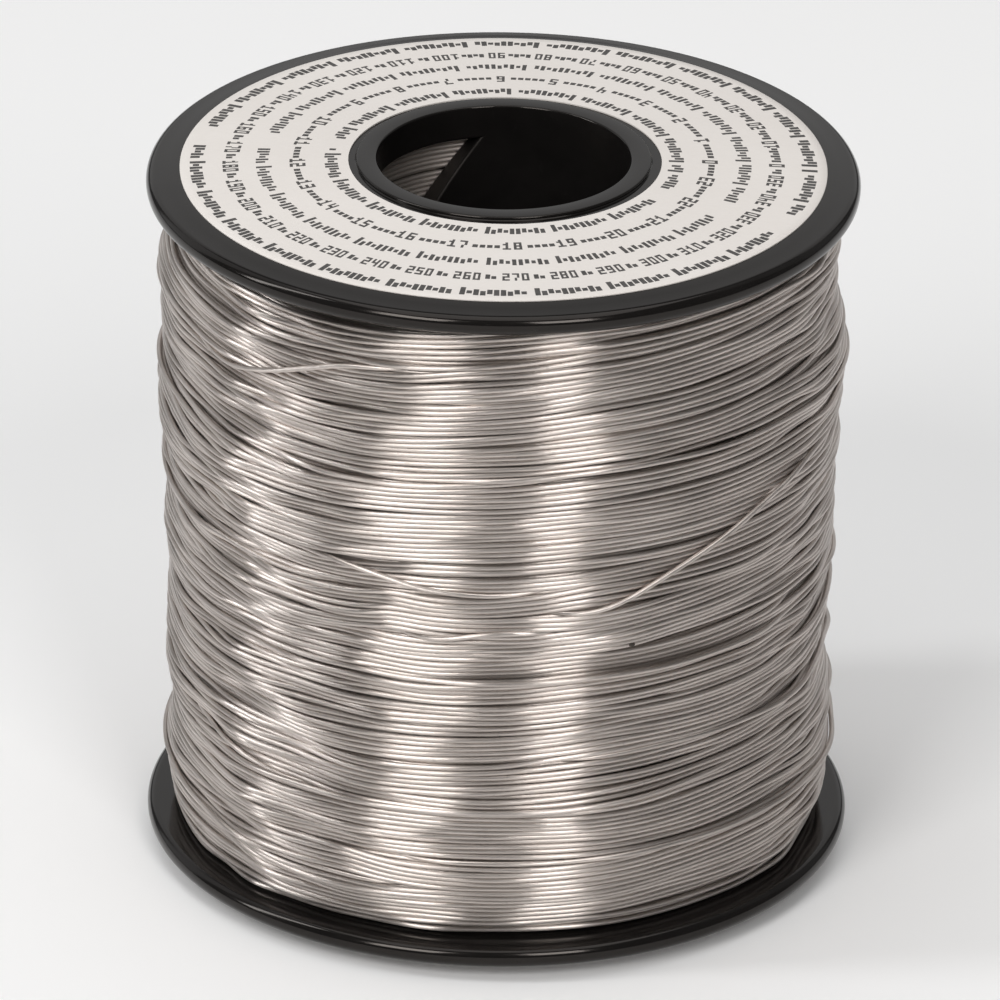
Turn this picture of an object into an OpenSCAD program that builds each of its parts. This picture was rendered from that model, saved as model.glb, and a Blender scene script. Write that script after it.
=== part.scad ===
// Solder wire spool: a moulded reel wound full of thin solder wire.
//
// Two flanges are seated on the ends of a windowed core barrel. The wire is
// wound between them, and each end carries a round paper label.
// All sizes in millimetres. The reel stands on its lower hub ring at z = 0.

/* [Reel] */
// Outer diameter of both flanges
flange_d = 52; // [48:0.5:60]
// Space between the two flanges, which the wire fills
winding_w = 49; // [36:1:60]
// Diameter of the bore that takes the spindle
bore_d = 18.5; // [16:0.5:19]

/* [Flanges] */
// Thickness of a flange at its rim
rim_t = 1.5; // [1.5:0.1:2]
// Radius of the rounding on both edges of the rim
rim_round = 0.7; // [0.3:0.05:0.72]
// Rise of the outer face from the rim to the edge of the label
shoulder_rise = 0.24; // [0.1:0.02:0.4]
// Rise of the outer face under the label, from its edge to its hole
crown_rise = 0.54; // [0.2:0.02:1]
// Outer diameter of the raised ring round the bore
hub_ring_d = 21.5; // [20.5:0.1:22]
// Height of the hub ring above the face it stands on
hub_ring_h = 0.29; // [0.2:0.01:0.8]
// Chamfer on the edges of the hub ring
ring_chamfer = 0.15; // [0.05:0.05:0.2]

/* [Core barrel] */
// Outer diameter of the barrel, where the first layer of wire lies
barrel_d = 22; // [21:0.5:24]
// Depth to which each end of the barrel is seated in its flange
seat_depth = 1.3; // [0.8:0.1:1.4]
// Angle from a window's centre to its corner, at the flange, in degrees
window_half = 34; // [20:1:40]
// Depth of a window from the flange down to its point
window_drop = 7.1; // [4.5:0.1:12]
// Angle of the centre of a window at either end, in degrees
window_turn = 135; // [0:1:179]

/* [Labels] */
// Outer diameter of a label
label_d = 47.1; // [40:0.1:47.5]
// Diameter of the hole in a label
label_hole_d = 22.8; // [22.4:0.1:26]
// Thickness of the label paper
label_t = 0.1; // [0.06:0.02:0.2]

/* [Wire] */
// Outer radius of the winding against each flange
wire_r_end = 24; // [20:0.1:24.6]
// Outer radius of the winding in its lower half
wire_r_low = 24.4; // [20:0.1:25]
// Outer radius of the winding in its upper half, where it bulges
wire_r_high = 24.9; // [20:0.1:25.2]

/* [Hidden] */

$fn = 96;

flange_r = flange_d / 2;
bore_r = bore_d / 2;
barrel_r = barrel_d / 2;
ring_r = hub_ring_d / 2;
label_r = label_d / 2;
label_hole_r = label_hole_d / 2;

// Heights above a flange's own inner face
edge_h = rim_t + shoulder_rise;          // outer face at the label's edge
hole_h = edge_h + crown_rise;            // outer face at the label's hole
hub_h = hole_h + hub_ring_h;             // top of the hub ring

// Levels in the standing reel
low_face = hub_h;                        // inner face of the bottom flange
high_face = hub_h + winding_w;           // inner face of the top flange
total_h = winding_w + 2 * hub_h;

plastic = [0.14, 0.135, 0.13];
paper = [0.9, 0.88, 0.86];
solder = [0.62, 0.6, 0.58];

// Points on the rounded corner centred at [cr, ch], from angle a to angle b
function corner(cr, ch, r, a, b, n) =
    [for (i = [0 : n]) let (t = a + (b - a) * i / n)
        [cr + r * cos(t), ch + r * sin(t)]];

// Half section of a flange, radius against height, inner face at height 0
function flange_section() = concat(
    [[barrel_r, 0]],
    corner(flange_r - rim_round, rim_round, rim_round, -90, 0, 6),
    corner(flange_r - rim_round, rim_t - rim_round, rim_round, 0, 90, 6),
    [[label_r, edge_h],
     [label_hole_r, hole_h],
     [ring_r, hole_h],
     [ring_r, hub_h - ring_chamfer],
     [ring_r - ring_chamfer, hub_h],
     [bore_r + ring_chamfer, hub_h],
     [bore_r, hub_h - ring_chamfer],
     [bore_r, seat_depth],
     [barrel_r, seat_depth]]);

// A flange lying on its inner face, seat for the barrel open below
module flange() {
    rotate_extrude() polygon(flange_section());
}

// A label lying on the sloping face of a flange
module label() {
    rotate_extrude()
        polygon([[label_hole_r, hole_h], [label_r, edge_h],
                 [label_r, edge_h + label_t],
                 [label_hole_r, hole_h + label_t]]);
}

// Everything on the window's side of one slanted edge. The edge runs from the
// window's corner at the flange to its point, and each of its faces is radial.
module window_side() {
    far = barrel_r * 4;
    rise = window_drop / 2;
    run = (bore_r + barrel_r) / 2 * window_half / 2 * PI / 180;
    rotate([0, 0, window_half / 2]) translate([0, 0, -rise])
        rotate([-atan(run / rise), 0, 0])
            translate([0, -far, -far / 2]) cube([far, far, far]);
}

// Triangular window below the flange, its point downward, centred on +X
module window() {
    intersection() {
        window_side();
        mirror([0, 1, 0]) window_side();
        translate([0, -barrel_r * 2, -window_drop * 2])
            cube([barrel_r * 2, barrel_r * 4, window_drop * 2]);
    }
}

module top_flange() {
    color(plastic) translate([0, 0, high_face]) flange();
}

module bottom_flange() {
    color(plastic) translate([0, 0, low_face]) mirror([0, 0, 1]) flange();
}

module core_barrel() {
    color(plastic) difference() {
        translate([0, 0, low_face - seat_depth])
            cylinder(r = barrel_r, h = winding_w + 2 * seat_depth);
        translate([0, 0, low_face - seat_depth - 1])
            cylinder(r = bore_r, h = winding_w + 2 * seat_depth + 2);
        for (a = [window_turn, window_turn + 180]) {
            translate([0, 0, high_face]) rotate([0, 0, a]) window();
            translate([0, 0, low_face]) rotate([0, 0, a])
                mirror([0, 0, 1]) window();
        }
    }
}

module top_label() {
    color(paper) translate([0, 0, high_face]) label();
}

module bottom_label() {
    color(paper) translate([0, 0, low_face]) mirror([0, 0, 1]) label();
}

// All the turns of the wire together, from the barrel out to the last layer
module solder_winding() {
    w = winding_w;
    color(solder) translate([0, 0, low_face]) rotate_extrude()
        polygon([[barrel_r, 0], [wire_r_end - 0.2, 0],
                 [wire_r_low + 0.1, w * 0.07], [wire_r_low, w * 0.3],
                 [wire_r_low + 0.05, w * 0.45],
                 [(wire_r_low + wire_r_high) / 2, w * 0.58],
                 [wire_r_high, w * 0.7],
                 [wire_r_high - 0.1, w * 0.8],
                 [wire_r_high - 0.2, w * 0.95],
                 [wire_r_end, w], [barrel_r, w]]);
}

top_flange();
bottom_flange();
core_barrel();
top_label();
bottom_label();
solder_winding();
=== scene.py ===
import bmesh, bpy, math
import numpy as np
from mathutils import Matrix, Vector


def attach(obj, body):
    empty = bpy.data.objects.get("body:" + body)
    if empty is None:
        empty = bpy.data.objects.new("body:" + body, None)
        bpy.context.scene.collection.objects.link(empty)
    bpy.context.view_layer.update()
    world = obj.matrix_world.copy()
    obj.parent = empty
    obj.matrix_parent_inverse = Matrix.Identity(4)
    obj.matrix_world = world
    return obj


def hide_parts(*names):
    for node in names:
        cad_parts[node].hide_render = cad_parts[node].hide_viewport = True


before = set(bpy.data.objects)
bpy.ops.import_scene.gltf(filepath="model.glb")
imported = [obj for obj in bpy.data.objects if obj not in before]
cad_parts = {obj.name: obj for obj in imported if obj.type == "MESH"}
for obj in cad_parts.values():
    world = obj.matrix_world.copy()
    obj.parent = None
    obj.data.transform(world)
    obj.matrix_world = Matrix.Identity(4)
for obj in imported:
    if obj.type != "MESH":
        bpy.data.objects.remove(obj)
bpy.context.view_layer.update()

scene = bpy.context.scene
scene.view_settings.view_transform = "Standard"
scene.view_settings.look = "None"
MM = 0.001

# ---------------------------------------------------------------- sizes, mm
FLANGE_R, BORE_R, BARREL_R = 26.0, 9.25, 11.0
RIM_T, RIM_ROUND = 1.5, 0.7
LABEL_R, LABEL_HOLE_R, LABEL_T = 23.55, 11.4, 0.1
EDGE_H = RIM_T + 0.24          # outer face at the label's edge
HOLE_H = EDGE_H + 0.54         # outer face at the label's hole
RING_R, HUB_H = 10.75, HOLE_H + 0.29
SEAT, WINDING_W = 1.3, 49.0
LOW_FACE, HIGH_FACE = HUB_H, HUB_H + WINDING_W
WIRE_D = 0.38

# ------------------------------------------------------------------- camera
RF = 26.0
CAM_F, CAM_D, CAM_E, CAM_ROLL = 11.63743, 32.98903, 0.4455716, 0.0115867
CAM_T = Vector((0.000617, 0.0, 0.977922))
cam_c = CAM_T + CAM_D * Vector((0, -math.cos(CAM_E), math.sin(CAM_E)))
fw = (CAM_T - cam_c).normalized()
right = fw.cross(Vector((0, 0, 1))).normalized()
up = right.cross(fw)
cx = right * math.cos(CAM_ROLL) + up * math.sin(CAM_ROLL)
cy = -right * math.sin(CAM_ROLL) + up * math.cos(CAM_ROLL)
cam_data = bpy.data.cameras.new("camera")
cam_data.sensor_width = 36.0
cam_data.lens = 36.0 * CAM_F
cam = bpy.data.objects.new("camera", cam_data)
place = (cam_c * RF + Vector((0, 0, 1.07))) * MM
m = Matrix((cx, cy, -fw)).transposed().to_4x4()
m.translation = place
cam.matrix_world = m
cam_data.clip_start, cam_data.clip_end = 0.05, 20.0
scene.collection.objects.link(cam)
scene.camera = cam


# ---------------------------------------------------------------- materials
def new_material(name):
    mat = bpy.data.materials.new(name)
    mat.use_nodes = True
    nt = mat.node_tree
    nt.nodes.clear()
    out = nt.nodes.new("ShaderNodeOutputMaterial")
    bsdf = nt.nodes.new("ShaderNodeBsdfPrincipled")
    nt.links.new(bsdf.outputs[0], out.inputs["Surface"])
    return mat, nt, bsdf


def node(nt, kind, **sockets):
    n = nt.nodes.new(kind)
    for k, v in sockets.items():
        if k.startswith("p_"):
            setattr(n, k[2:], v)
        else:
            n.inputs[k.replace("_", " ")].default_value = v
    return n


def noise(nt, vector, scale, detail=4.0, rough=0.55, dist=0.0):
    n = node(nt, "ShaderNodeTexNoise", Scale=scale, Detail=detail,
             Roughness=rough, Distortion=dist)
    nt.links.new(vector, n.inputs["Vector"])
    return n.outputs[0]


def ramp(nt, value, stops):
    n = nt.nodes.new("ShaderNodeValToRGB")
    els = n.color_ramp.elements
    while len(els) < len(stops):
        els.new(0.5)
    for e, (pos, col) in zip(els, stops):
        e.position = pos
        e.color = (*col, 1.0) if len(col) == 3 else col
    nt.links.new(value, n.inputs[0])
    return n.outputs[0]


def map_range(nt, value, a, b, c, d):
    n = node(nt, "ShaderNodeMapRange")
    n.inputs["From Min"].default_value = a
    n.inputs["From Max"].default_value = b
    n.inputs["To Min"].default_value = c
    n.inputs["To Max"].default_value = d
    nt.links.new(value, n.inputs["Value"])
    return n.outputs[0]


def mix_rgb(nt, fac, a, b, mode="MIX"):
    n = nt.nodes.new("ShaderNodeMix")
    n.data_type = "RGBA"
    n.blend_type = mode
    for sock, v in ((n.inputs[0], fac), (n.inputs[6], a), (n.inputs[7], b)):
        if isinstance(v, (int, float)):
            sock.default_value = v
        elif isinstance(v, tuple):
            sock.default_value = (*v, 1.0)
        else:
            nt.links.new(v, sock)
    return n.outputs[2]


def bump(nt, bsdf, height, strength, distance):
    n = node(nt, "ShaderNodeBump", Strength=strength, Distance=distance)
    nt.links.new(height, n.inputs["Height"])
    nt.links.new(n.outputs[0], bsdf.inputs["Normal"])
    return n


def object_coords(nt):
    return nt.nodes.new("ShaderNodeTexCoord").outputs["Object"]


def stretched(nt, coords, sx, sy, sz):
    n = nt.nodes.new("ShaderNodeMapping")
    n.inputs["Scale"].default_value = (sx, sy, sz)
    nt.links.new(coords, n.inputs["Vector"])
    return n.outputs[0]


def plastic_material(name, rough_a, rough_b):
    """Black moulded polystyrene, with faint flow mottling and a few dull scuffs."""
    mat, nt, b = new_material(name)
    co = object_coords(nt)
    broad = noise(nt, co, 160.0, 3.0, 0.6, 0.6)
    fine = noise(nt, co, 2600.0, 3.0, 0.6)
    scuff = noise(nt, stretched(nt, co, 1.0, 6.0, 1.0), 900.0, 5.0, 0.7, 1.5)
    base = ramp(nt, broad, [(0.3, (0.0050, 0.0045, 0.0043)), (0.7, (0.0078, 0.0070, 0.0067))])
    worn = ramp(nt, scuff, [(0.62, (0.0, 0.0, 0.0)), (0.76, (1.0, 1.0, 1.0))])
    colour = mix_rgb(nt, worn, base, (0.018, 0.0172, 0.0165))
    nt.links.new(colour, b.inputs["Base Color"])
    rough = map_range(nt, broad, 0.3, 0.7, rough_a, rough_b)
    nt.links.new(rough, b.inputs["Roughness"])
    b.inputs["Specular IOR Level"].default_value = 0.34
    b.inputs["Specular Tint"].default_value = (1.0, 0.92, 0.86, 1.0)
    bump(nt, b, fine, 0.12, 0.00001)
    return mat


def paper_material():
    """Matt white label stock with faint fibres and slight toning."""
    mat, nt, b = new_material("label_paper")
    co = object_coords(nt)
    tone = noise(nt, co, 70.0, 4.0, 0.6)
    fibre = noise(nt, stretched(nt, co, 1.0, 2.2, 1.0), 1500.0, 5.0, 0.7, 0.8)
    base = ramp(nt, tone, [(0.25, (0.775, 0.732, 0.694)), (0.75, (0.825, 0.786, 0.748))])
    colour = mix_rgb(nt, map_range(nt, fibre, 0.35, 0.65, 0.0, 0.10), base,
                     (0.62, 0.58, 0.54))
    nt.links.new(colour, b.inputs["Base Color"])
    nt.links.new(map_range(nt, fibre, 0.3, 0.7, 0.62, 0.78), b.inputs["Roughness"])
    b.inputs["Specular IOR Level"].default_value = 0.35
    bump(nt, b, fibre, 0.30, 0.00001)
    return mat


def ink_material():
    """Thin grey-black print, a little uneven where the paper takes it."""
    mat, nt, b = new_material("label_ink")
    co = object_coords(nt)
    take = noise(nt, co, 2400.0, 4.0, 0.6)
    colour = ramp(nt, take, [(0.3, (0.045, 0.042, 0.040)), (0.75, (0.100, 0.094, 0.090))])
    nt.links.new(colour, b.inputs["Base Color"])
    nt.links.new(map_range(nt, take, 0.3, 0.7, 0.5, 0.65), b.inputs["Roughness"])
    return mat


def solder_material(name, dark, light, rough_a, rough_b, drawn=1.0):
    """Drawn tin-lead wire: soft satin metal with dull patches and streaks along the wire."""
    mat, nt, b = new_material(name)
    b.inputs["Metallic"].default_value = 1.0
    # die lines run along the wire, so light spreads across it
    b.inputs["Anisotropic"].default_value = drawn
    b.inputs["Anisotropic Rotation"].default_value = 0.25
    co = object_coords(nt)
    patch = noise(nt, stretched(nt, co, 1.0, 1.0, 3.0), 110.0, 4.0, 0.6, 0.5)
    streak = noise(nt, stretched(nt, co, 1.0, 1.0, 22.0), 110.0, 3.0, 0.55)
    group = noise(nt, stretched(nt, co, 1.0, 1.0, 8.0), 120.0, 3.0, 0.55, 0.3)
    speck = noise(nt, co, 1700.0, 3.0, 0.6)
    base = ramp(nt, patch, [(0.28, dark), (0.72, light)])
    colour = mix_rgb(nt, map_range(nt, streak, 0.42, 0.72, 0.0, 0.60), base,
                     tuple(0.70 * c for c in dark))
    colour = mix_rgb(nt, map_range(nt, group, 0.48, 0.68, 0.0, 0.55), colour,
                     tuple(0.68 * c for c in dark))
    colour = mix_rgb(nt, map_range(nt, speck, 0.64, 0.74, 0.0, 0.45), colour,
                     tuple(0.62 * c for c in dark))
    nt.links.new(colour, b.inputs["Base Color"])
    nt.links.new(map_range(nt, streak, 0.3, 0.7, rough_a, rough_b), b.inputs["Roughness"])
    bump(nt, b, speck, 0.05, 0.000004)
    return mat


def flux_material():
    """Hardened brown-black rosin flux."""
    mat, nt, b = new_material("dark_flux")
    tone = noise(nt, object_coords(nt), 5000.0, 3.0)
    nt.links.new(ramp(nt, tone, [(0.3, (0.020, 0.014, 0.010)), (0.7, (0.05, 0.036, 0.026))]),
                 b.inputs["Base Color"])
    b.inputs["Roughness"].default_value = 0.42
    return mat


MAT_PLASTIC = plastic_material("black_plastic", 0.10, 0.15)
MAT_CORE = plastic_material("black_plastic_dull", 0.34, 0.42)
MAT_PAPER = paper_material()
MAT_INK = ink_material()
MAT_FLUX = flux_material()
MAT_WIRE = solder_material("solder_metal", (0.645, 0.582, 0.540), (0.735, 0.671, 0.629), 0.29, 0.36)
MAT_WIRE_FIRST = solder_material("solder_metal_first", (0.645, 0.582, 0.540), (0.735, 0.671, 0.629),
                                 0.50, 0.58, drawn=0.5)
# a darker copy of the same solder metal for the turns inside the winding: painted shade, standing in for the shadow
# that falls between and under the outer turns
MAT_WIRE_PAINTED_SHADE = solder_material("solder_metal_painted_shade", (0.42, 0.38, 0.34), (0.52, 0.475, 0.435),
                                0.40, 0.48)


# ------------------------------------------------------------- mesh helpers
def make_object(name, verts, faces, mats, smooth=True, flat=None, face_mats=None,
                sharp_deg=None, uv=None, replaces=()):
    """verts in mm; faces a list of index arrays (k x 3, k x 4) or a list of tuples."""
    me = bpy.data.meshes.new(name)
    verts = np.asarray(verts, dtype=np.float64) * MM
    blocks = [np.asarray(f) for f in faces] if isinstance(faces, list) else [np.asarray(faces)]
    loops = np.concatenate([b.ravel() for b in blocks]).astype(np.int32)
    sizes = np.concatenate([np.full(len(b), b.shape[1]) for b in blocks]).astype(np.int32)
    starts = np.concatenate([[0], np.cumsum(sizes)[:-1]]).astype(np.int32)
    me.vertices.add(len(verts))
    me.vertices.foreach_set("co", verts.astype(np.float32).ravel())
    me.loops.add(len(loops))
    me.loops.foreach_set("vertex_index", loops)
    me.polygons.add(len(sizes))
    me.polygons.foreach_set("loop_start", starts)
    me.update(calc_edges=True)
    me.validate()
    if smooth:
        s = np.ones(len(sizes), dtype=bool)
        if flat is not None:
            s[flat] = False
        me.polygons.foreach_set("use_smooth", s)
    for mat in mats:
        me.materials.append(mat)
    if face_mats is not None:
        me.polygons.foreach_set("material_index", np.asarray(face_mats, dtype=np.int32))
    if uv is not None:
        layer = me.uv_layers.new(name="OFBake")
        layer.data.foreach_set("uv", np.asarray(uv, dtype=np.float32).ravel())
    if sharp_deg is not None:
        me.set_sharp_from_angle(angle=math.radians(sharp_deg))
    me.update()
    ob = bpy.data.objects.new(name, me)
    scene.collection.objects.link(ob)
    if replaces:
        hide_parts(*replaces)
    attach(ob, "root")
    return ob


def arc(cr, ch, r, a, b, n):
    return [(cr + r * math.cos(math.radians(a + (b - a) * i / n)),
             ch + r * math.sin(math.radians(a + (b - a) * i / n))) for i in range(n + 1)]


def lathe(section, n, flip_z=None, shift_z=0.0):
    """Closed section (r, z), counter-clockwise in the r-z plane, spun about Z."""
    p = np.array(section, dtype=float)
    k = len(p)
    t = np.arange(n) * 2 * math.pi / n
    z = p[:, 1] + shift_z if flip_z is None else flip_z - p[:, 1]
    v = np.stack([np.outer(np.cos(t), p[:, 0]), np.outer(np.sin(t), p[:, 0]),
                  np.tile(z, (n, 1))], axis=-1).reshape(-1, 3)
    i, j = np.meshgrid(np.arange(n), np.arange(k), indexing="ij")
    a = i * k + j
    b = ((i + 1) % n) * k + j
    c = ((i + 1) % n) * k + (j + 1) % k
    d = i * k + (j + 1) % k
    f = np.stack([a, b, c, d], axis=-1).reshape(-1, 4)
    if flip_z is not None:
        f = f[:, ::-1]
    return v, f


# ------------------------------------------------------------------ flanges
def flange_section():
    rr = RIM_ROUND
    s = [(BARREL_R, 0.0), (15.0, 0.0), (20.0, 0.0)]
    s += arc(FLANGE_R - rr, rr, rr, -90, 0, 14)
    s += arc(FLANGE_R - rr, RIM_T - rr, rr, 0, 90, 14)
    s += [(24.4, RIM_T + 0.24 * (25.3 - 24.4) / (25.3 - LABEL_R)), (LABEL_R, EDGE_H),
          (19.5, EDGE_H + 0.54 * (LABEL_R - 19.5) / (LABEL_R - LABEL_HOLE_R)),
          (15.5, EDGE_H + 0.54 * (LABEL_R - 15.5) / (LABEL_R - LABEL_HOLE_R)),
          (LABEL_HOLE_R, HOLE_H), (RING_R + 0.08, HOLE_H), (RING_R, HOLE_H + 0.06)]
    s += arc(RING_R - 0.15, HUB_H - 0.15, 0.15, 0, 90, 6)
    s += arc(BORE_R + 0.15, HUB_H - 0.15, 0.15, 90, 180, 6)
    s += [(BORE_R, SEAT), (BARREL_R, SEAT)]
    return s


def bore_wall(v, f):
    """Material of each face: the wall of the bore is as dull as the barrel."""
    r = np.hypot(np.asarray(v)[:, 0], np.asarray(v)[:, 1])
    blocks = f if isinstance(f, list) else [f]
    return np.concatenate([(r[np.asarray(b)].max(axis=1) < BORE_R + 0.01).astype(int)
                           for b in blocks])


SECTION = flange_section()
v, f = lathe(SECTION, 320, shift_z=HIGH_FACE)
make_object("top_flange_moulding", v, f, [MAT_PLASTIC, MAT_CORE], sharp_deg=32,
            face_mats=bore_wall(v, f), replaces=["top_flange"])
v, f = lathe(SECTION, 320, flip_z=LOW_FACE)
make_object("bottom_flange_moulding", v, f, [MAT_PLASTIC, MAT_CORE], sharp_deg=32,
            face_mats=bore_wall(v, f), replaces=["bottom_flange"])


# -------------------------------------------------------------- core barrel
def barrel_mesh():
    """Tube whose wall stops, at each end, along the slanted edges of two windows."""
    half, drop = 34.0, 7.1
    angles = []
    for c in (135.0, 315.0):
        angles += list(np.linspace(c - half, c + half, 35))[:-1]
        angles += list(np.linspace(c + half, c + 180.0 - half, 37))[:-1]
    angles = np.array(angles)
    n = len(angles)
    off = np.minimum(np.abs(angles - 135.0), np.abs(angles - 315.0))
    off = np.minimum(off, np.abs(angles - 495.0))
    inside = off < half - 1e-6
    soft = 1.6
    depth = drop / half * (half - np.sqrt(off ** 2 + soft ** 2) + soft * (1 - off / half))
    depth = np.where(inside, np.clip(depth, 0, None), 0.0)
    t = np.radians(angles)
    body = [LOW_FACE + depth]
    for q in (0.25, 0.5, 0.75):
        body.append(LOW_FACE + depth + q * (WINDING_W - 2 * depth))
    body.append(HIGH_FACE - depth)
    # columns of heights: lower seat, lower face, the wall, upper face, upper seat
    levels = [np.full(n, LOW_FACE - SEAT), np.full(n, LOW_FACE)] + body \
        + [np.full(n, HIGH_FACE), np.full(n, HIGH_FACE + SEAT)]
    k = len(levels)
    v, index = [], {}

    def vert(side, j, i):
        i %= n
        if j == 2 and not inside[i]:
            j = 1
        if j == k - 3 and not inside[i]:
            j = k - 2
        key = (side, j, i)
        if key not in index:
            index[key] = len(v)
            r = BORE_R if side == 0 else BARREL_R
            v.append((r * math.cos(t[i]), r * math.sin(t[i]), levels[j][i]))
        return index[key]

    f = []

    def quad(a, b, c, d):
        q = []
        for x in (a, b, c, d):
            if x not in q:
                q.append(x)
        if len(q) > 2:
            f.append(tuple(q))

    for i in range(n):
        open_col = inside[i] or inside[(i + 1) % n]
        for j in range(k - 1):
            if j in (1, k - 3):                 # the window itself, or nothing
                continue
            quad(vert(0, j, i), vert(0, j + 1, i), vert(0, j + 1, i + 1), vert(0, j, i + 1))
            quad(vert(1, j, i), vert(1, j, i + 1), vert(1, j + 1, i + 1), vert(1, j + 1, i))
        quad(vert(0, 0, i), vert(0, 0, i + 1), vert(1, 0, i + 1), vert(1, 0, i))
        quad(vert(0, k - 1, i), vert(1, k - 1, i), vert(1, k - 1, i + 1), vert(0, k - 1, i + 1))
        if open_col:
            quad(vert(0, 1, i), vert(1, 1, i), vert(1, 1, i + 1), vert(0, 1, i + 1))
            quad(vert(0, 2, i), vert(0, 2, i + 1), vert(1, 2, i + 1), vert(1, 2, i))
            quad(vert(0, k - 3, i), vert(1, k - 3, i), vert(1, k - 3, i + 1), vert(0, k - 3, i + 1))
            quad(vert(0, k - 2, i), vert(0, k - 2, i + 1), vert(1, k - 2, i + 1), vert(1, k - 2, i))
    tri = np.array([q for q in f if len(q) == 3]).reshape(-1, 3)
    return np.array(v), [tri, np.array([q for q in f if len(q) == 4])]


v, f = barrel_mesh()
barrel = make_object("core_barrel_moulding", v, f, [MAT_CORE], sharp_deg=35,
                     replaces=["core_barrel"])
bm = bmesh.new()
bm.from_mesh(barrel.data)
weight = bm.edges.layers.float.new("bevel_weight_edge")
for e in bm.edges:
    zs = [q.co.z / MM for q in e.verts]
    if len(e.link_faces) == 2 and e.calc_face_angle(0.0) > math.radians(35) \
            and min(zs) > LOW_FACE - SEAT + 0.01 and max(zs) < HIGH_FACE + SEAT - 0.01:
        e[weight] = 1.0
bm.to_mesh(barrel.data)
bm.free()
bev = barrel.modifiers.new("edges", "BEVEL")
bev.width, bev.segments = 0.00022, 3
bev.limit_method = "WEIGHT"
bev.harden_normals = True


# ------------------------------------------------------------------- labels
def cone_h(r):
    return EDGE_H + 0.54 * (LABEL_R - r) / (LABEL_R - LABEL_HOLE_R)


# plain dial figures, three cells wide and five high, one row of three bits after another
FIGURES = {"0": (7, 5, 5, 5, 7), "1": (2, 6, 2, 2, 7), "2": (7, 1, 7, 4, 7), "3": (7, 1, 7, 1, 7),
           "4": (5, 5, 7, 1, 1), "5": (7, 4, 7, 1, 7), "6": (7, 4, 7, 5, 7), "7": (7, 1, 1, 2, 2),
           "8": (7, 5, 7, 5, 7), "9": (7, 5, 7, 1, 7)}
LABEL_N = 1440


def figure_ring(pitch, cell, scale, tick_pitch, width):
    """Inked cells (column, row) of a ring of numbers with short ticks between them."""
    ink = np.zeros((LABEL_N, 5), dtype=bool)
    for q in range(LABEL_N // pitch):
        at = q * pitch
        for digit in str(int(round(q * scale))):
            for row, bits in enumerate(FIGURES[digit]):
                for c in range(3):
                    if bits & (4 >> c):
                        ink[at + c * cell:at + (c + 1) * cell, row] = True
            at += 4 * cell
        at += cell
        while at + width < (q + 1) * pitch:
            ink[at:at + width, 1 + at % 2:4] = True
            at += tick_pitch
    return ink


def tick_ring(pitch, width, start):
    """Inked cells of a ring of graduation ticks, in tens with a space after each ten."""
    ink = np.zeros((LABEL_N, 5), dtype=bool)
    at, q = start, 0
    while at < start + LABEL_N - pitch:
        cols = np.arange(at, at + width) % LABEL_N
        if 652 < at % LABEL_N < 688 or 1314 < at % LABEL_N < 1350:
            pass                              # the scale is in two arcs
        elif q % 10 == 0:
            ink[cols, :] = True
        elif q % 5 == 0:
            ink[cols, 1:] = True
        else:
            ink[cols, 1 + q % 2:5 - q // 2 % 2] = True
        q += 1
        at += pitch * (2 if q % 10 == 0 else 1)
    return ink


def label_mesh(printed, hole_shift=(0.0, 0.0), flip=None, shift=0.0):
    """Round paper label. The rings of its generic dial scale are faces of their own."""
    n = LABEL_N
    rows = [LABEL_HOLE_R]
    prints = []
    if printed:
        for rc, ink in ((12.5, tick_ring(8, 6, 0)), (15.0, figure_ring(60, 3, 1, 8, 6)),
                        (17.45, tick_ring(6, 4, 9)), (19.87, figure_ring(40, 2, 10, 5, 4)),
                        (22.25, tick_ring(5, 4, 4))):
            prints.append((len(rows), ink))
            rows += [rc + 0.23 * (q - 2.5) for q in range(6)]
    else:
        rows += [14.0, 17.0, 20.0]
    rows += [LABEL_R - 0.04, LABEL_R]
    rows = np.array(rows)
    k = len(rows)
    t = np.arange(n) * 2 * math.pi / n
    r = np.tile(rows, (n, 1))
    # the hole was punched a little off centre, which only the inner rows follow
    fall = np.clip((14.0 - r) / (14.0 - LABEL_HOLE_R), 0, 1)
    x = r * np.cos(t)[:, None] + hole_shift[0] * fall
    y = r * np.sin(t)[:, None] + hole_shift[1] * fall
    rad = np.hypot(x, y)
    z0 = cone_h(rad) + 0.002
    z1 = cone_h(rad) + LABEL_T
    z1[:, -1] -= 0.03
    if flip is None:
        z0, z1 = z0 + shift, z1 + shift
    else:
        z0, z1 = flip - z0, flip - z1
    ends = [0, k - 1]
    v = np.concatenate([np.stack([x, y, z1], -1).reshape(-1, 3),
                        np.stack([x[:, ends], y[:, ends], z0[:, ends]], -1).reshape(-1, 3)])
    i, j = np.meshgrid(np.arange(n), np.arange(k - 1), indexing="ij")
    a, b = i * k + j, ((i + 1) % n) * k + j
    top = np.stack([a, a + 1, b + 1, b], -1)
    mats = np.zeros(top.shape[:2], dtype=int)
    for first, ink in prints:
        mats[:, first:first + 5] = ink
    ii = np.arange(n)
    jj = (ii + 1) % n
    low = n * k
    e0, e1 = ii * k, jj * k
    o0, o1 = e0 + k - 1, e1 + k - 1
    f = np.concatenate([top.reshape(-1, 4),
                        np.stack([low + 2 * ii, low + 2 * jj, low + 2 * jj + 1, low + 2 * ii + 1], -1),
                        np.stack([e0, e1, low + 2 * jj, low + 2 * ii], -1),
                        np.stack([o1, o0, low + 2 * ii + 1, low + 2 * jj + 1], -1)])
    fm = np.concatenate([mats.ravel(), np.zeros(len(f) - mats.size, dtype=int)])
    if flip is not None:
        f = f[:, ::-1]
    return v, f, fm


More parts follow.
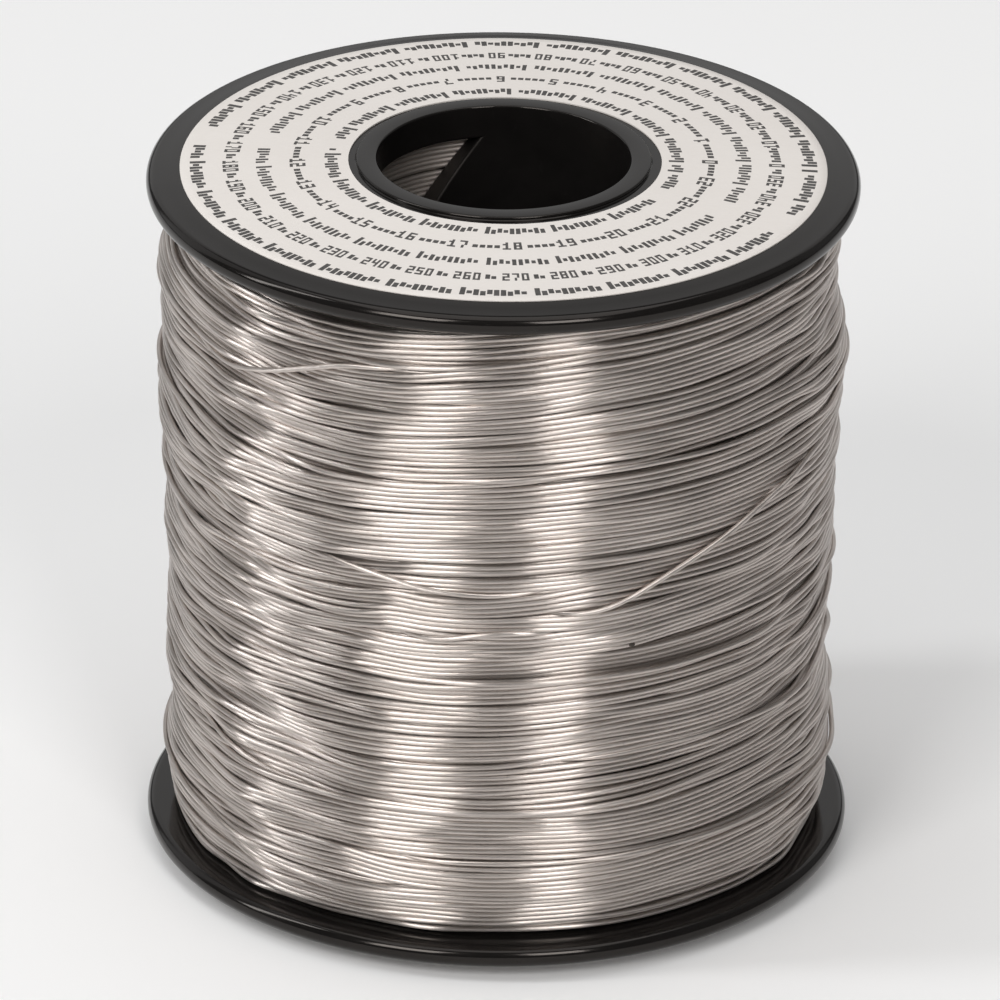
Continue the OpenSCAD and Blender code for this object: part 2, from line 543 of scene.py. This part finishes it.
v, f, fm = label_mesh(True, hole_shift=(0.10, -0.10), shift=HIGH_FACE)
make_object("top_label_paper", v, f, [MAT_PAPER, MAT_INK], face_mats=fm, sharp_deg=40,
            replaces=["top_label"])
v, f, fm = label_mesh(False, flip=LOW_FACE)
make_object("bottom_label_paper", v, f, [MAT_PAPER], sharp_deg=40,
            replaces=["bottom_label"])

# ------------------------------------------------------------------ winding
N = 192                                       # samples in one turn
STEP = 360.0 / N
rng = np.random.default_rng(20240711)

# radius of the winding's outline against height, on the left (-X) and the right (+X) side
LEFT = [(2.57, 23.85), (4.2, 24.2), (6.3, 24.72), (8.1, 24.65), (11.2, 24.47), (15.1, 24.57),
        (17.5, 24.34), (18.8, 24.44), (21.9, 24.44), (23.7, 24.36), (25.0, 24.67),
        (27.1, 24.88), (28.6, 24.62), (31.0, 24.62), (32.3, 24.88), (34.6, 25.24),
        (36.4, 25.37), (38.3, 25.24), (40.6, 24.70), (42.7, 24.88), (46.8, 24.90),
        (49.2, 24.45), (51.57, 24.0)]
RIGHT = [(2.57, 23.65), (4.2, 24.1), (7.0, 24.49), (10.7, 24.60), (14.1, 24.54), (16.9, 24.18),
         (19.3, 24.28), (24.5, 24.52), (29.2, 24.65), (32.3, 24.88), (34.9, 24.75),
         (37.5, 25.12), (40.1, 25.12), (41.4, 25.17), (43.7, 24.73), (46.1, 24.62),
         (47.4, 24.52), (49.7, 24.3), (51.57, 23.9)]


def outline(z, t):
    zl, rl = np.array(LEFT).T
    zr, rr = np.array(RIGHT).T
    a, b = np.interp(z, zl, rl), np.interp(z, zr, rr)
    return (a + b) / 2 + (b - a) / 2 * np.cos(t)


def gauss(x, s, wrap=False):
    n = int(3 * s) + 1
    k = np.exp(-0.5 * (np.arange(-n, n + 1) / s) ** 2)
    k /= k.sum()
    return np.convolve(np.pad(x, n, mode="wrap" if wrap else "reflect"), k, "valid")


def smoothstep(x):
    x = np.clip(x, 0.0, 1.0)
    return x * x * (3 - 2 * x)


def wander(count, s_az, s_turn=0.0):
    """Smooth unit-variance noise along the wire: s_az in samples, s_turn in turns."""
    x = rng.standard_normal(count)
    x = gauss(x, s_az)
    if s_turn > 0:
        h = int(2.5 * s_turn) + 1
        w = np.exp(-0.5 * (np.arange(-h, h + 1) / s_turn) ** 2)
        p = np.pad(x, h * N, mode="reflect")
        x = sum(w[q] * p[q * N:q * N + count] for q in range(2 * h + 1))
    return (x - x.mean()) / x.std()


ROW = 0.25                                    # mm between the rows of a bumpy field


def bumpy(s_az, s_z):
    """Smooth unit-variance noise over the cylinder: s_az in samples, s_z in mm."""
    x = rng.standard_normal((int(WINDING_W / ROW) + 2, N))
    x = np.array([gauss(row, s_az, wrap=True) for row in x])
    x = np.array([gauss(col, s_z / ROW) for col in x.T]).T
    return (x - x.mean()) / x.std()


# the turns underneath lie unevenly, and every layer above follows their lumps
LUMPS = 0.15 * bumpy(4.2, 1.1) + 0.11 * bumpy(6, 2.2) + 0.06 * bumpy(14, 2.5)


def uneven(t):
    """How uneven the winding is at an angle: more on its front left and right sides."""
    deg = (np.degrees(t) + 270.0) % 360.0 - 270.0
    return np.exp(-((deg + 136.0) / 22.0) ** 2) + 0.9 * np.exp(-((deg + 24.0) / 15.0) ** 2)


def lumps(z, t):
    row = np.clip((z - LOW_FACE) / ROW, 0, len(LUMPS) - 1.001)
    col = (t - math.pi / 2) / (2 * math.pi) * N % N
    r0, c0 = np.floor(row).astype(int), np.floor(col).astype(int) % N
    a, b = row - r0, col - np.floor(col)
    c1 = (c0 + 1) % N
    edge = smoothstep(np.minimum(z - LOW_FACE, HIGH_FACE - z) / 5.0)
    return edge * (1.0 + 0.25 * uneven(t)) * ((LUMPS[r0, c0] * (1 - b) + LUMPS[r0, c1] * b) * (1 - a)
                   + (LUMPS[r0 + 1, c0] * (1 - b) + LUMPS[r0 + 1, c1] * b) * a)


STACK = 0.335


def base_outer(z, t):
    """Where the centre of the deepest modelled layer lies."""
    return outline(z, t) - 0.22 - WIRE_D / 2 - 2 * STACK + lumps(z, t)


Z_LOW = LOW_FACE + WIRE_D / 2 + 0.01
Z_HIGH = HIGH_FACE - WIRE_D / 2 - 0.01


def top_gap(t):
    """The last layers stop short of the top flange on its front left side."""
    deg = (np.degrees(t) + 270.0) % 360.0 - 270.0
    return 1.45 * smoothstep(1.0 - np.abs(deg + 124.0) / 56.0)


def height_limit(share):
    t = np.arange(N) * 2 * math.pi / N + math.pi / 2
    return Z_HIGH - share * top_gap(t)


def spread(turns, slack, chance):
    """Places of a layer's turns, from 0 to 1: they bunch, with wider gaps between the bunches."""
    w = np.where(rng.random(turns) < chance, rng.uniform(0.5, 1.5, turns), 0.06)
    w = 1.0 + slack / (1.0 - slack) * w / w.mean()
    u = np.concatenate([[0.0], np.cumsum(w)])
    return u / u[-1]


def nominal(k, col, places, high):
    """Height of a layer's turns at sample col of turn k, before they wander."""
    u = np.interp(k + col / N, np.arange(len(places)), places)
    return Z_LOW + (high[col] - Z_LOW) * u


def rest_on(z, lr, lz):
    dz = z[None, :] - lz
    h = np.where(np.abs(dz) < WIRE_D, lr + np.sqrt(np.clip(WIRE_D ** 2 - dz ** 2, 0, None)), -1)
    return h.max(axis=0)


def lay_layer(places, rising, below, side, loose, wave, gap_share=0.0, lanes=()):
    """Lays one layer over those below. Each turn follows a slightly wandering line of its own and
    is pushed aside by the turn before it, so that turns touch, part and meet again but never
    overlap. lanes are other lengths of the wire that lie in this layer, as (turn above, sample,
    height, clearance). Returns z and r by turn and sample, and the angles of the samples."""
    turns = len(places) - 1
    count = turns * N
    k = np.arange(count) // N
    col = np.arange(count) % N
    high = height_limit(gap_share)
    z = nominal(k, col, places, high)
    fade = np.clip(np.minimum(z - Z_LOW, high[col] - z) / 1.2, 0, 1)
    z = z + fade * (side[0] * wander(count, 0.035 * N) + side[1] * wander(count, 0.10 * N)
                    + side[2] * wander(count, 0.10 * N, 5))
    z = z.reshape(turns, N)
    floor_z = np.full((turns, N), -1e3)
    ceil_z = np.full((turns, N), 1e3)
    for above, sample, at, clear in lanes:
        ok = (above >= 1) & (above < turns)
        np.maximum.at(floor_z, (above[ok], sample[ok]), at[ok] + clear[ok])
        np.minimum.at(ceil_z, (above[ok] - 1, sample[ok]), at[ok] - clear[ok])
    apart = WIRE_D * 1.003
    z[0] = np.maximum(z[0], Z_LOW)
    for q in range(1, turns):
        z[q] = np.maximum(z[q], np.maximum(z[q - 1] + apart, floor_z[q]))
    z[-1] = np.minimum(z[-1], high)
    for q in range(turns - 2, -1, -1):
        z[q] = np.minimum(z[q], np.minimum(z[q + 1] - apart, ceil_z[q]))
    z = gauss(z.ravel(), 1.7).reshape(turns, N)
    if not rising:
        z = Z_LOW + high[None, :] - z
    t = (np.arange(count) / N % 1.0) * 2 * math.pi + math.pi / 2
    tt = t.reshape(turns, N)
    r = np.zeros_like(z)
    for q in range(turns):
        rest = base_outer(z[q], tt[q])
        for lz, lr in below:
            rest = np.maximum(rest, rest_on(z[q], lr, lz))
        wide = np.maximum.reduce([np.roll(rest, w) for w in (-1, 0, 1)])
        r[q] = gauss(wide, 1.7, wrap=True)
    r = gauss(r.ravel(), 1.2) + loose * (0.75 * wander(count, 0.04 * N, 0.7) + 0.65 * wander(count, 0.05 * N)) \
        + wave * (1.0 + 3.0 * uneven(t)) * (0.8 * wander(count, 2.4, 0.7) + 0.6 * wander(count, 2.2))
    return z, r.reshape(turns, N), t


def tube(z, r, t, sides, d=1.03 * WIRE_D, phase=0.0):
    """Closed tube of round wire along the samples. Returns vertices, quads, caps, uv."""
    n = len(z)
    p = np.stack([r * np.cos(t), r * np.sin(t), z], -1)
    tan = np.gradient(p, axis=0)
    tan /= np.linalg.norm(tan, axis=1)[:, None]
    rad = np.stack([np.cos(t), np.sin(t), np.zeros(n)], -1)
    nor = rad - (rad * tan).sum(1)[:, None] * tan
    nor /= np.linalg.norm(nor, axis=1)[:, None]
    bi = np.cross(tan, nor)
    a = np.arange(sides) * 2 * math.pi / sides + phase
    v = p[:, None, :] + d / 2 * (np.cos(a)[None, :, None] * nor[:, None, :]
                                 + np.sin(a)[None, :, None] * bi[:, None, :])
    v = v.reshape(-1, 3)
    i, j = np.meshgrid(np.arange(n - 1), np.arange(sides), indexing="ij")
    q0 = i * sides + j
    q1 = i * sides + (j + 1) % sides
    f = np.stack([q0, q0 + sides, q1 + sides, q1], -1).reshape(-1, 4)
    # each turn takes one row of the map, the sides of the wire one band in it
    rows = n // N + 1
    u0 = (i % N) / N
    row = i // N
    hgt = 1.0 / rows
    u1 = u0 + 1.0 / N
    v0 = (row + 0.04 + 0.92 * j / sides) * hgt
    v1 = (row + 0.04 + 0.92 * (j + 1) / sides) * hgt
    uv = np.stack([np.stack([u0, v0], -1), np.stack([u1, v0], -1),
                   np.stack([u1, v1], -1), np.stack([u0, v1], -1)], axis=2).reshape(-1, 2)
    caps = np.array([np.arange(sides), (n - 1) * sides + np.arange(sides)[::-1]])
    capuv = np.zeros((2 * sides, 2)) + 0.0005 * np.stack(
        [np.tile(np.cos(a), 2), np.tile(np.sin(a), 2)], -1) + 0.001
    return v, f, caps, np.concatenate([uv, capuv])


def wire_piece(name, z, r, t, sides, mat):
    v, f, caps, uv = tube(z, r, t, sides)
    return make_object(name, v, [f, caps], [mat], flat=[len(f), len(f) + 1], uv=uv, sharp_deg=75,
                       replaces=["solder_winding"])


def wire_layer(name, layer, sides, parts, mat):
    zz, rr, t = layer
    z, r = zz.ravel(), rr.ravel()
    # at both flanges the wire comes up out of the layer below and goes back into it
    along = np.minimum(np.arange(len(z)), np.arange(len(z))[::-1])
    r = r - 1.6 * WIRE_D * (1.0 - smoothstep((along - 2) / 10.0))
    ang = np.arange(len(z)) / N * 2 * math.pi + math.pi / 2
    cuts = np.linspace(0, len(zz), parts + 1).astype(int) * N          # at the back
    for q in range(parts):
        a, b = cuts[q], min(cuts[q + 1] + 1, len(z))
        wire_piece(f"{name}_{'abcdef'[q]}", z[a:b], r[a:b], ang[a:b], sides, mat)


# Lengths of the wire that leave their place in the outer layer, run over it and drop back into it.
# Each lies between two turns at both of its ends, where it sinks away under them.
OUTER_TURNS = 113
OUTER_PLACES = spread(OUTER_TURNS, 0.11, 0.26)
OUTER_HIGH = height_limit(1.0)


def samples(a, b):
    return np.arange(math.ceil((a - 90.0) / STEP), math.floor((b - 90.0) / STEP) + 1)


def turn_above(deg, z):
    """The outer turn that lies just above height z at an angle, counted as if at sample j = 0."""
    j = (deg - 90.0) / STEP
    col = j % N
    high = np.interp(col, np.arange(N), OUTER_HIGH)
    at = np.interp((z - Z_LOW) / (high - Z_LOW), OUTER_PLACES, np.arange(OUTER_TURNS + 1))
    return int(math.ceil(at - col / N) - math.floor(j / N))


def plan(name, d0, d1, above0, above1, points=None, lane=(34.0, 34.0)):
    """From angle d0 to d1 the wire runs on top; its lanes at both ends lie in the layer."""
    j = samples(d0 - lane[0], d1 + lane[1])
    deg = 90.0 + STEP * j
    part = np.where(deg < d0, -1, np.where(deg > d1, 1, 0))
    sink = [min(16.0, 0.9 * q) for q in lane]
    sunk = np.maximum(smoothstep((d0 - lane[0] + sink[0] - deg) / sink[0]),
                      smoothstep((deg - (d1 + lane[1] - sink[1])) / sink[1]))
    way = smoothstep((deg - d0) / max(d1 - d0, 1e-6))
    lam = above0 - 0.5 + (above1 - above0) * way          # place in the layer, in turns
    return dict(name=name, j=j, deg=deg, part=part, sunk=sunk, lam=lam, points=points,
                above0=above0, above1=above1)


PLANS = []
for name, points, lane in (
        ("crossing_a", [(-75, 28.85), (-73.6, 28.95), (-68.4, 29.57), (-61.9, 30.8), (-54.0, 32.04),
                        (-44.0, 33.69), (-36.0, 35.05), (-28, 35.9), (-20, 36.3)], (9, 60)),
        ("crossing_b", [(-100, 26.9), (-96.4, 27.32), (-93.0, 27.6), (-89.7, 27.75), (-86, 27.85)],
         (11, 11)),
        ("crossing_c", [(-121, 32.2), (-115.8, 32.01), (-109.4, 31.51), (-103.3, 30.87),
                        (-99.0, 30.74), (-93.0, 30.6)], (40, 16)),
        ("crossing_d", [(-143.9, 44.2), (-139.7, 44.52), (-130.0, 45.67), (-123.7, 46.54),
                        (-119.0, 47.2)], (16, 18)),
        ("crossing_e", [(-150, 14.6), (-146, 13.95), (-142.4, 13.59), (-137.0, 13.28),
                        (-131.0, 13.1)], (14, 12))):
    pts = np.array(points, dtype=float)
    (a0, z0), (a1, z1) = points[0], points[-1]
    PLANS.append(plan(name, a0, a1, turn_above(a0, z0), turn_above(a1, z1), pts, lane))
COUNT = 20
for q in range(COUNT):
    k = int(11 + q * (OUTER_TURNS - 22) / COUNT + rng.integers(0, 3))
    start = rng.uniform(-265, 60)
    span = rng.uniform(35, 190)
    hop = int(rng.choice([-3, -2, -1, 0, 1, 2, 3]))
    if 52 < k < 82 and start < 0 and start + span > -150:
        start += 170.0                       # keeps clear of the crossings at the front
    PLANS.append(plan(f"climbed_{q + 1:02d}", start, start + span, k, int(np.clip(k + hop, 2, OUTER_TURNS - 3)),
                      lane=(rng.uniform(24, 40), rng.uniform(24, 40))))

LANES = []
for pl in PLANS:
    for side_part, above in ((-1, pl["above0"]), (1, pl["above1"])):
        edge = pl["deg"][pl["part"] == 0][0 if side_part < 0 else -1]
        past = smoothstep(-side_part * (pl["deg"] - edge) / 12.0)
        m = (pl["part"] == side_part) | ((pl["part"] == 0) & (past < 1.0))
        row = above + np.floor_divide(pl["j"][m], N)
        col = pl["j"][m] % N
        at = (nominal(row, col, OUTER_PLACES, OUTER_HIGH)
              + nominal(row - 1, col, OUTER_PLACES, OUTER_HIGH)) / 2
        LANES.append((row, col, at, WIRE_D * (1.003 - 0.5 * np.maximum(pl["sunk"], past)[m])))

deep = lay_layer(spread(119, 0.05, 0.3), True, [], (0.03, 0.10, 0.08), 0.02, 0.008, 0.85)
under = lay_layer(spread(116, 0.07, 0.3), False, [deep[:2]], (0.06, 0.16, 0.16), 0.02, 0.010, 0.92)
outer = lay_layer(OUTER_PLACES, True, [deep[:2], under[:2]], (0.06, 0.16, 0.20), 0.050, 0.044,
                  1.0, LANES)
DONE = []


def layer_rest(z, t, layers):
    best = base_outer(z, t)
    col = (t - math.pi / 2) / (2 * math.pi) * N % N
    c0 = np.floor(col + 1e-6).astype(int) % N
    for zz, rr in layers:
        best = np.maximum(best, rest_on(z, rr[:, c0], zz[:, c0]))
    return best


def build_stray(pl):
    j, part = pl["j"], pl["part"]
    col, shift = j % N, np.floor_divide(j, N)
    t = np.radians(pl["deg"])
    row = np.clip(pl["lam"] + shift, 0, OUTER_TURNS - 1.001)
    r0 = np.floor(row).astype(int)
    w = row - r0
    z = outer[0][r0, col] * (1 - w) + outer[0][r0 + 1, col] * w
    if pl["points"] is not None:
        given = np.interp(pl["deg"], pl["points"][:, 0], pl["points"][:, 1])
        z = np.where(part == 0, given, z)
    z = gauss(z, 1.5)
    low = layer_rest(z, t, [deep[:2], under[:2]])
    top = layer_rest(z, t, [deep[:2], under[:2], outer[:2]])
    for sz, sr, sj in DONE:
        for turn in (-N, 0, N):
            at = j - turn - sj[0]
            ok = (at >= 0) & (at < len(sj))
            if not ok.any():
                continue
            dz = z[ok] - sz[at[ok]]
            h = np.where(np.abs(dz) < WIRE_D,
                         sr[at[ok]] + np.sqrt(np.clip(WIRE_D ** 2 - dz ** 2, 0, None)), -1)
            top[ok] = np.maximum(top[ok], h)
    on_top = gauss((part == 0).astype(float), 1.2)
    r = low * (1 - on_top) + top * on_top
    wide = np.maximum.reduce([np.pad(r, 2, mode="edge")[2 + q:len(r) + 2 + q] for q in (-1, 0, 1)])
    r = gauss(wide, 1.4) + 0.012 * wander(len(r), 2.0)
    DONE.append((z, r, j))
    r = r - 1.75 * WIRE_D * pl["sunk"]
    return wire_piece("solder_winding_" + pl["name"], z, r, t, 8, MAT_WIRE)


for pl in PLANS:
    build_stray(pl)

wire_layer("solder_winding_outer", outer, 8, 2, MAT_WIRE)
wire_layer("solder_winding_under", under, 6, 2, MAT_WIRE)
wire_layer("solder_winding_deep", deep, 6, 2, MAT_WIRE)

# first layer on the barrel, seen through its windows
first_turns = 127
u = np.arange(first_turns * 96) / 96.0
zf = np.linspace(LOW_FACE + WIRE_D / 2, HIGH_FACE - WIRE_D / 2, len(u)) \
    + 0.018 * np.interp(np.arange(len(u)), np.arange(0, len(u), 24), rng.standard_normal(len(range(0, len(u), 24))))
# one gap between two turns, which shows through the window
zf += 0.085 * np.clip((u - 119.85) / 0.1, -1, 1) * np.exp(-np.abs(u - 119.85) / 6.0)
rf = np.full(len(u), BARREL_R + WIRE_D / 2 + 0.01)
keepN = N
N = 96
wire_piece("solder_winding_first_layer", zf, rf, u * 2 * math.pi, 6, MAT_WIRE_FIRST)
N = keepN


def body_mesh(rows=132):
    """The turns under the modelled layers, as one closed ring that follows their lumps."""
    zs = np.linspace(LOW_FACE + 0.01, HIGH_FACE - 0.01, rows)
    t = np.arange(N) * 2 * math.pi / N
    zg, tg = np.meshgrid(zs, t, indexing="ij")
    rg = base_outer(zg, tg) - 0.05
    zg = zg - 0.8 * top_gap(tg) * smoothstep((zg - HIGH_FACE + 5.0) / 5.0)
    inner = BARREL_R + WIRE_D + 0.02
    v = [np.stack([rg * np.cos(tg), rg * np.sin(tg), zg], -1).reshape(-1, 3)]
    for z in (zs[0], zs[-1]):
        v.append(np.stack([inner * np.cos(t), inner * np.sin(t), np.full(N, z)], -1))
    i, j = np.meshgrid(np.arange(rows - 1), np.arange(N), indexing="ij")
    j1 = (j + 1) % N
    f = [np.stack([i * N + j, i * N + j1, (i + 1) * N + j1, (i + 1) * N + j], -1).reshape(-1, 4)]
    c = np.arange(N)
    c1 = (c + 1) % N
    low, high = rows * N, rows * N + N
    last = (rows - 1) * N
    f.append(np.stack([low + c, low + c1, c1, c], -1))
    f.append(np.stack([last + c, last + c1, high + c1, high + c], -1))
    f.append(np.stack([high + c, high + c1, low + c1, low + c], -1))
    return np.concatenate(v), np.concatenate(f)


v, f = body_mesh()
# the inner turns take the darker solder colour, which is painted shade for the gaps between the outer turns
make_object("solder_winding_inner_turns", v, f, [MAT_WIRE_PAINTED_SHADE], sharp_deg=40,
            replaces=["solder_winding"])

# a speck of dark flux that sits on the wire at the front
bm = bmesh.new()
bmesh.ops.create_icosphere(bm, subdivisions=3, radius=1.0)
at = math.radians(-66.8)
col = int(round((-66.8 - 90.0) / STEP)) % N
near = int(np.argmin(np.abs(outer[0][:, col] - 25.85)))
r_at = outer[1][near, col] + WIRE_D / 2
spin = Matrix.Rotation(at, 4, "Z") @ Matrix.Translation((r_at, 0, outer[0][near, col] + 0.05)) \
    @ Matrix.Diagonal((0.10, 0.24, 0.19, 1.0))
bmesh.ops.transform(bm, matrix=spin, verts=bm.verts)
v = np.array([q.co[:] for q in bm.verts])
v *= (1.0 + 0.0006 * rng.standard_normal((len(v), 1)))
f = np.array([[q.index for q in face.verts] for face in bm.faces])
bm.free()
make_object("solder_winding_flux_speck", v, f, [MAT_FLUX],
            replaces=["solder_winding"])

# -------------------------------------------------------------------- stage
me = bpy.data.meshes.new("floor")
s = 6.0
me.from_pydata([(-s, -s, 0), (s, -s, 0), (s, s, 0), (-s, s, 0)], [], [(0, 1, 2, 3)])
floor = bpy.data.objects.new("floor", me)
scene.collection.objects.link(floor)
mat, nt, b = new_material("floor_pale")
co = object_coords(nt)
nt.links.new(ramp(nt, noise(nt, co, 3.0, 2.0), [(0.3, (0.90, 0.90, 0.90)), (0.7, (0.92, 0.92, 0.92))]),
             b.inputs["Base Color"])
b.inputs["Roughness"].default_value = 0.8
b.inputs["Specular IOR Level"].default_value = 0.2
b.inputs["Emission Color"].default_value = (1.0, 1.0, 1.0, 1.0)
b.inputs["Emission Strength"].default_value = 0.04
me.materials.append(mat)

world = bpy.data.worlds.new("studio")
scene.world = world
world.use_nodes = True
bg = world.node_tree.nodes["Background"]
bg.inputs[0].default_value = (1.0, 1.0, 1.0, 1.0)
bg.inputs[1].default_value = 0.11


def softbox(name, az, el, dist, w, h, radiance, colour=(1, 1, 1)):
    """Area light at azimuth az from the front (positive to +X) and elevation el, degrees."""
    a, e = math.radians(az), math.radians(el)
    centre = Vector((0, 0, 0.027))
    d = Vector((math.sin(a) * math.cos(e), -math.cos(a) * math.cos(e), math.sin(e)))
    li = bpy.data.lights.new(name, "AREA")
    li.shape = "RECTANGLE"
    li.size, li.size_y = w, h
    li.energy = radiance * math.pi * w * h
    li.color = colour
    ob = bpy.data.objects.new(name, li)
    ob.location = centre + d * dist
    ob.rotation_mode = "QUATERNION"
    ob.rotation_quaternion = (-d).to_track_quat("-Z", "Y")
    ob.visible_camera = False
    scene.collection.objects.link(ob)
    return ob


DIST = 1.6
softbox("strip_left", -30.5, 36, DIST, 2 * DIST * math.tan(math.radians(10.2)), 0.62, 7.9, (1, 0.985, 0.97))
softbox("strip_right", 21, 36, DIST, 2 * DIST * math.tan(math.radians(8.0)), 0.62, 7.6, (1, 0.985, 0.97))
softbox("strip_side", -85, 36, DIST, 0.21, 1.2, 7.6, (0.98, 0.99, 1.0))
softbox("fill_side", -122, 32, DIST, 0.8, 1.7, 0.46, (0.98, 0.99, 1.0))
softbox("fill_right", 122, 32, DIST, 0.8, 1.5, 0.12, (0.98, 0.99, 1.0))
softbox("overhead", 0, 90, 1.7, 1.6, 1.6, 1.38)
softbox("back", 180, 27, 1.9, 2.4, 1.2, 0.46)
